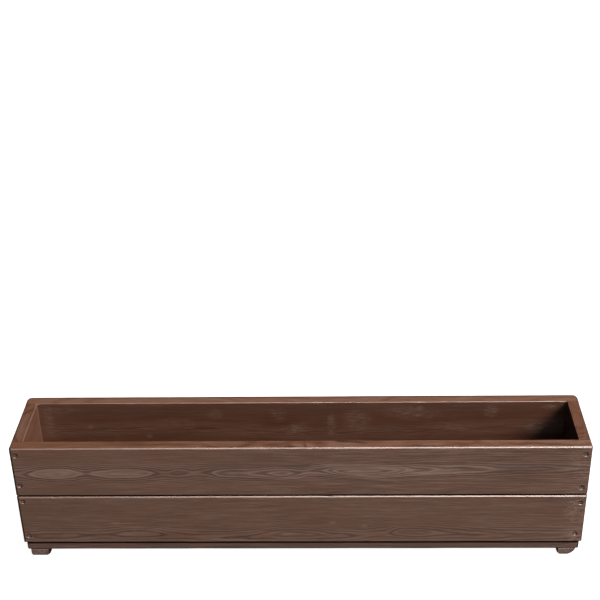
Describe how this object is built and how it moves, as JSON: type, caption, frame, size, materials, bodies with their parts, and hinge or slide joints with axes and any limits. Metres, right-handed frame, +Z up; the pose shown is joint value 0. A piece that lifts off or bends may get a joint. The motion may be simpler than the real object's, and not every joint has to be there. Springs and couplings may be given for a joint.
{
  "type": "window box planter",
  "caption": "Long, narrow wooden planter box with boarded long walls, solid end panels, a slatted base with a drainage gap and low feet, screwed together and painted brown.",
  "frame": {"origin": "on the ground, in the middle of the box's footprint", "axes": "+X along the box to the right as seen from the front, +Y from the front to the back, +Z up"},
  "size_m": [0.9, 0.142, 0.218],
  "materials": {
    "wall_paint": "brown semi-gloss wood paint, the grain showing through",
    "end_paint": "brown semi-gloss wood paint, the grain showing through",
    "base_paint": "brown semi-gloss wood paint, a thinner coat",
    "foot_paint": "brown semi-gloss wood paint over rough sawn wood",
    "screw_paint": "painted over with the boards",
    "screw_steel": "yellow-passivated zinc, dulled"
  },
  "bodies": {
    "root": {"front_board_upper": "wall_paint", "front_board_lower": "wall_paint", "back_board_upper": "wall_paint", "back_board_lower": "wall_paint", "end_panel_left": "end_paint", "end_panel_right": "end_paint", "base_slat_front": "base_paint", "base_slat_back": "base_paint", "foot_left": "foot_paint", "foot_right": "foot_paint", "screw_front_left_1": "screw_paint", "screw_front_left_2": "screw_paint", "screw_front_left_3": "screw_paint", "screw_front_left_4": "screw_paint", "screw_front_right_1": "screw_paint", "screw_front_right_2": "screw_paint", "screw_front_right_3": "screw_paint", "screw_front_right_4": "screw_paint", "screw_back_left_1": "screw_paint", "screw_back_left_2": "screw_paint", "screw_back_left_3": "screw_paint", "screw_back_left_4": "screw_paint", "screw_back_right_1": "screw_paint", "screw_back_right_2": "screw_paint", "screw_back_right_3": "screw_paint", "screw_back_right_4": "screw_paint", "screw_base_front_1": "screw_steel", "screw_base_front_2": "screw_steel", "screw_base_front_3": "screw_steel", "screw_base_back_1": "screw_steel", "screw_base_back_2": "screw_steel", "screw_base_back_3": "screw_steel", "screw_base_left_1": "screw_steel", "screw_base_left_2": "screw_steel", "screw_base_right_1": "screw_steel", "screw_base_right_2": "screw_steel", "screw_foot_left_1": "screw_steel", "screw_foot_left_2": "screw_steel", "screw_foot_right_1": "screw_steel", "screw_foot_right_2": "screw_steel"}
  },
  "joints": []
}
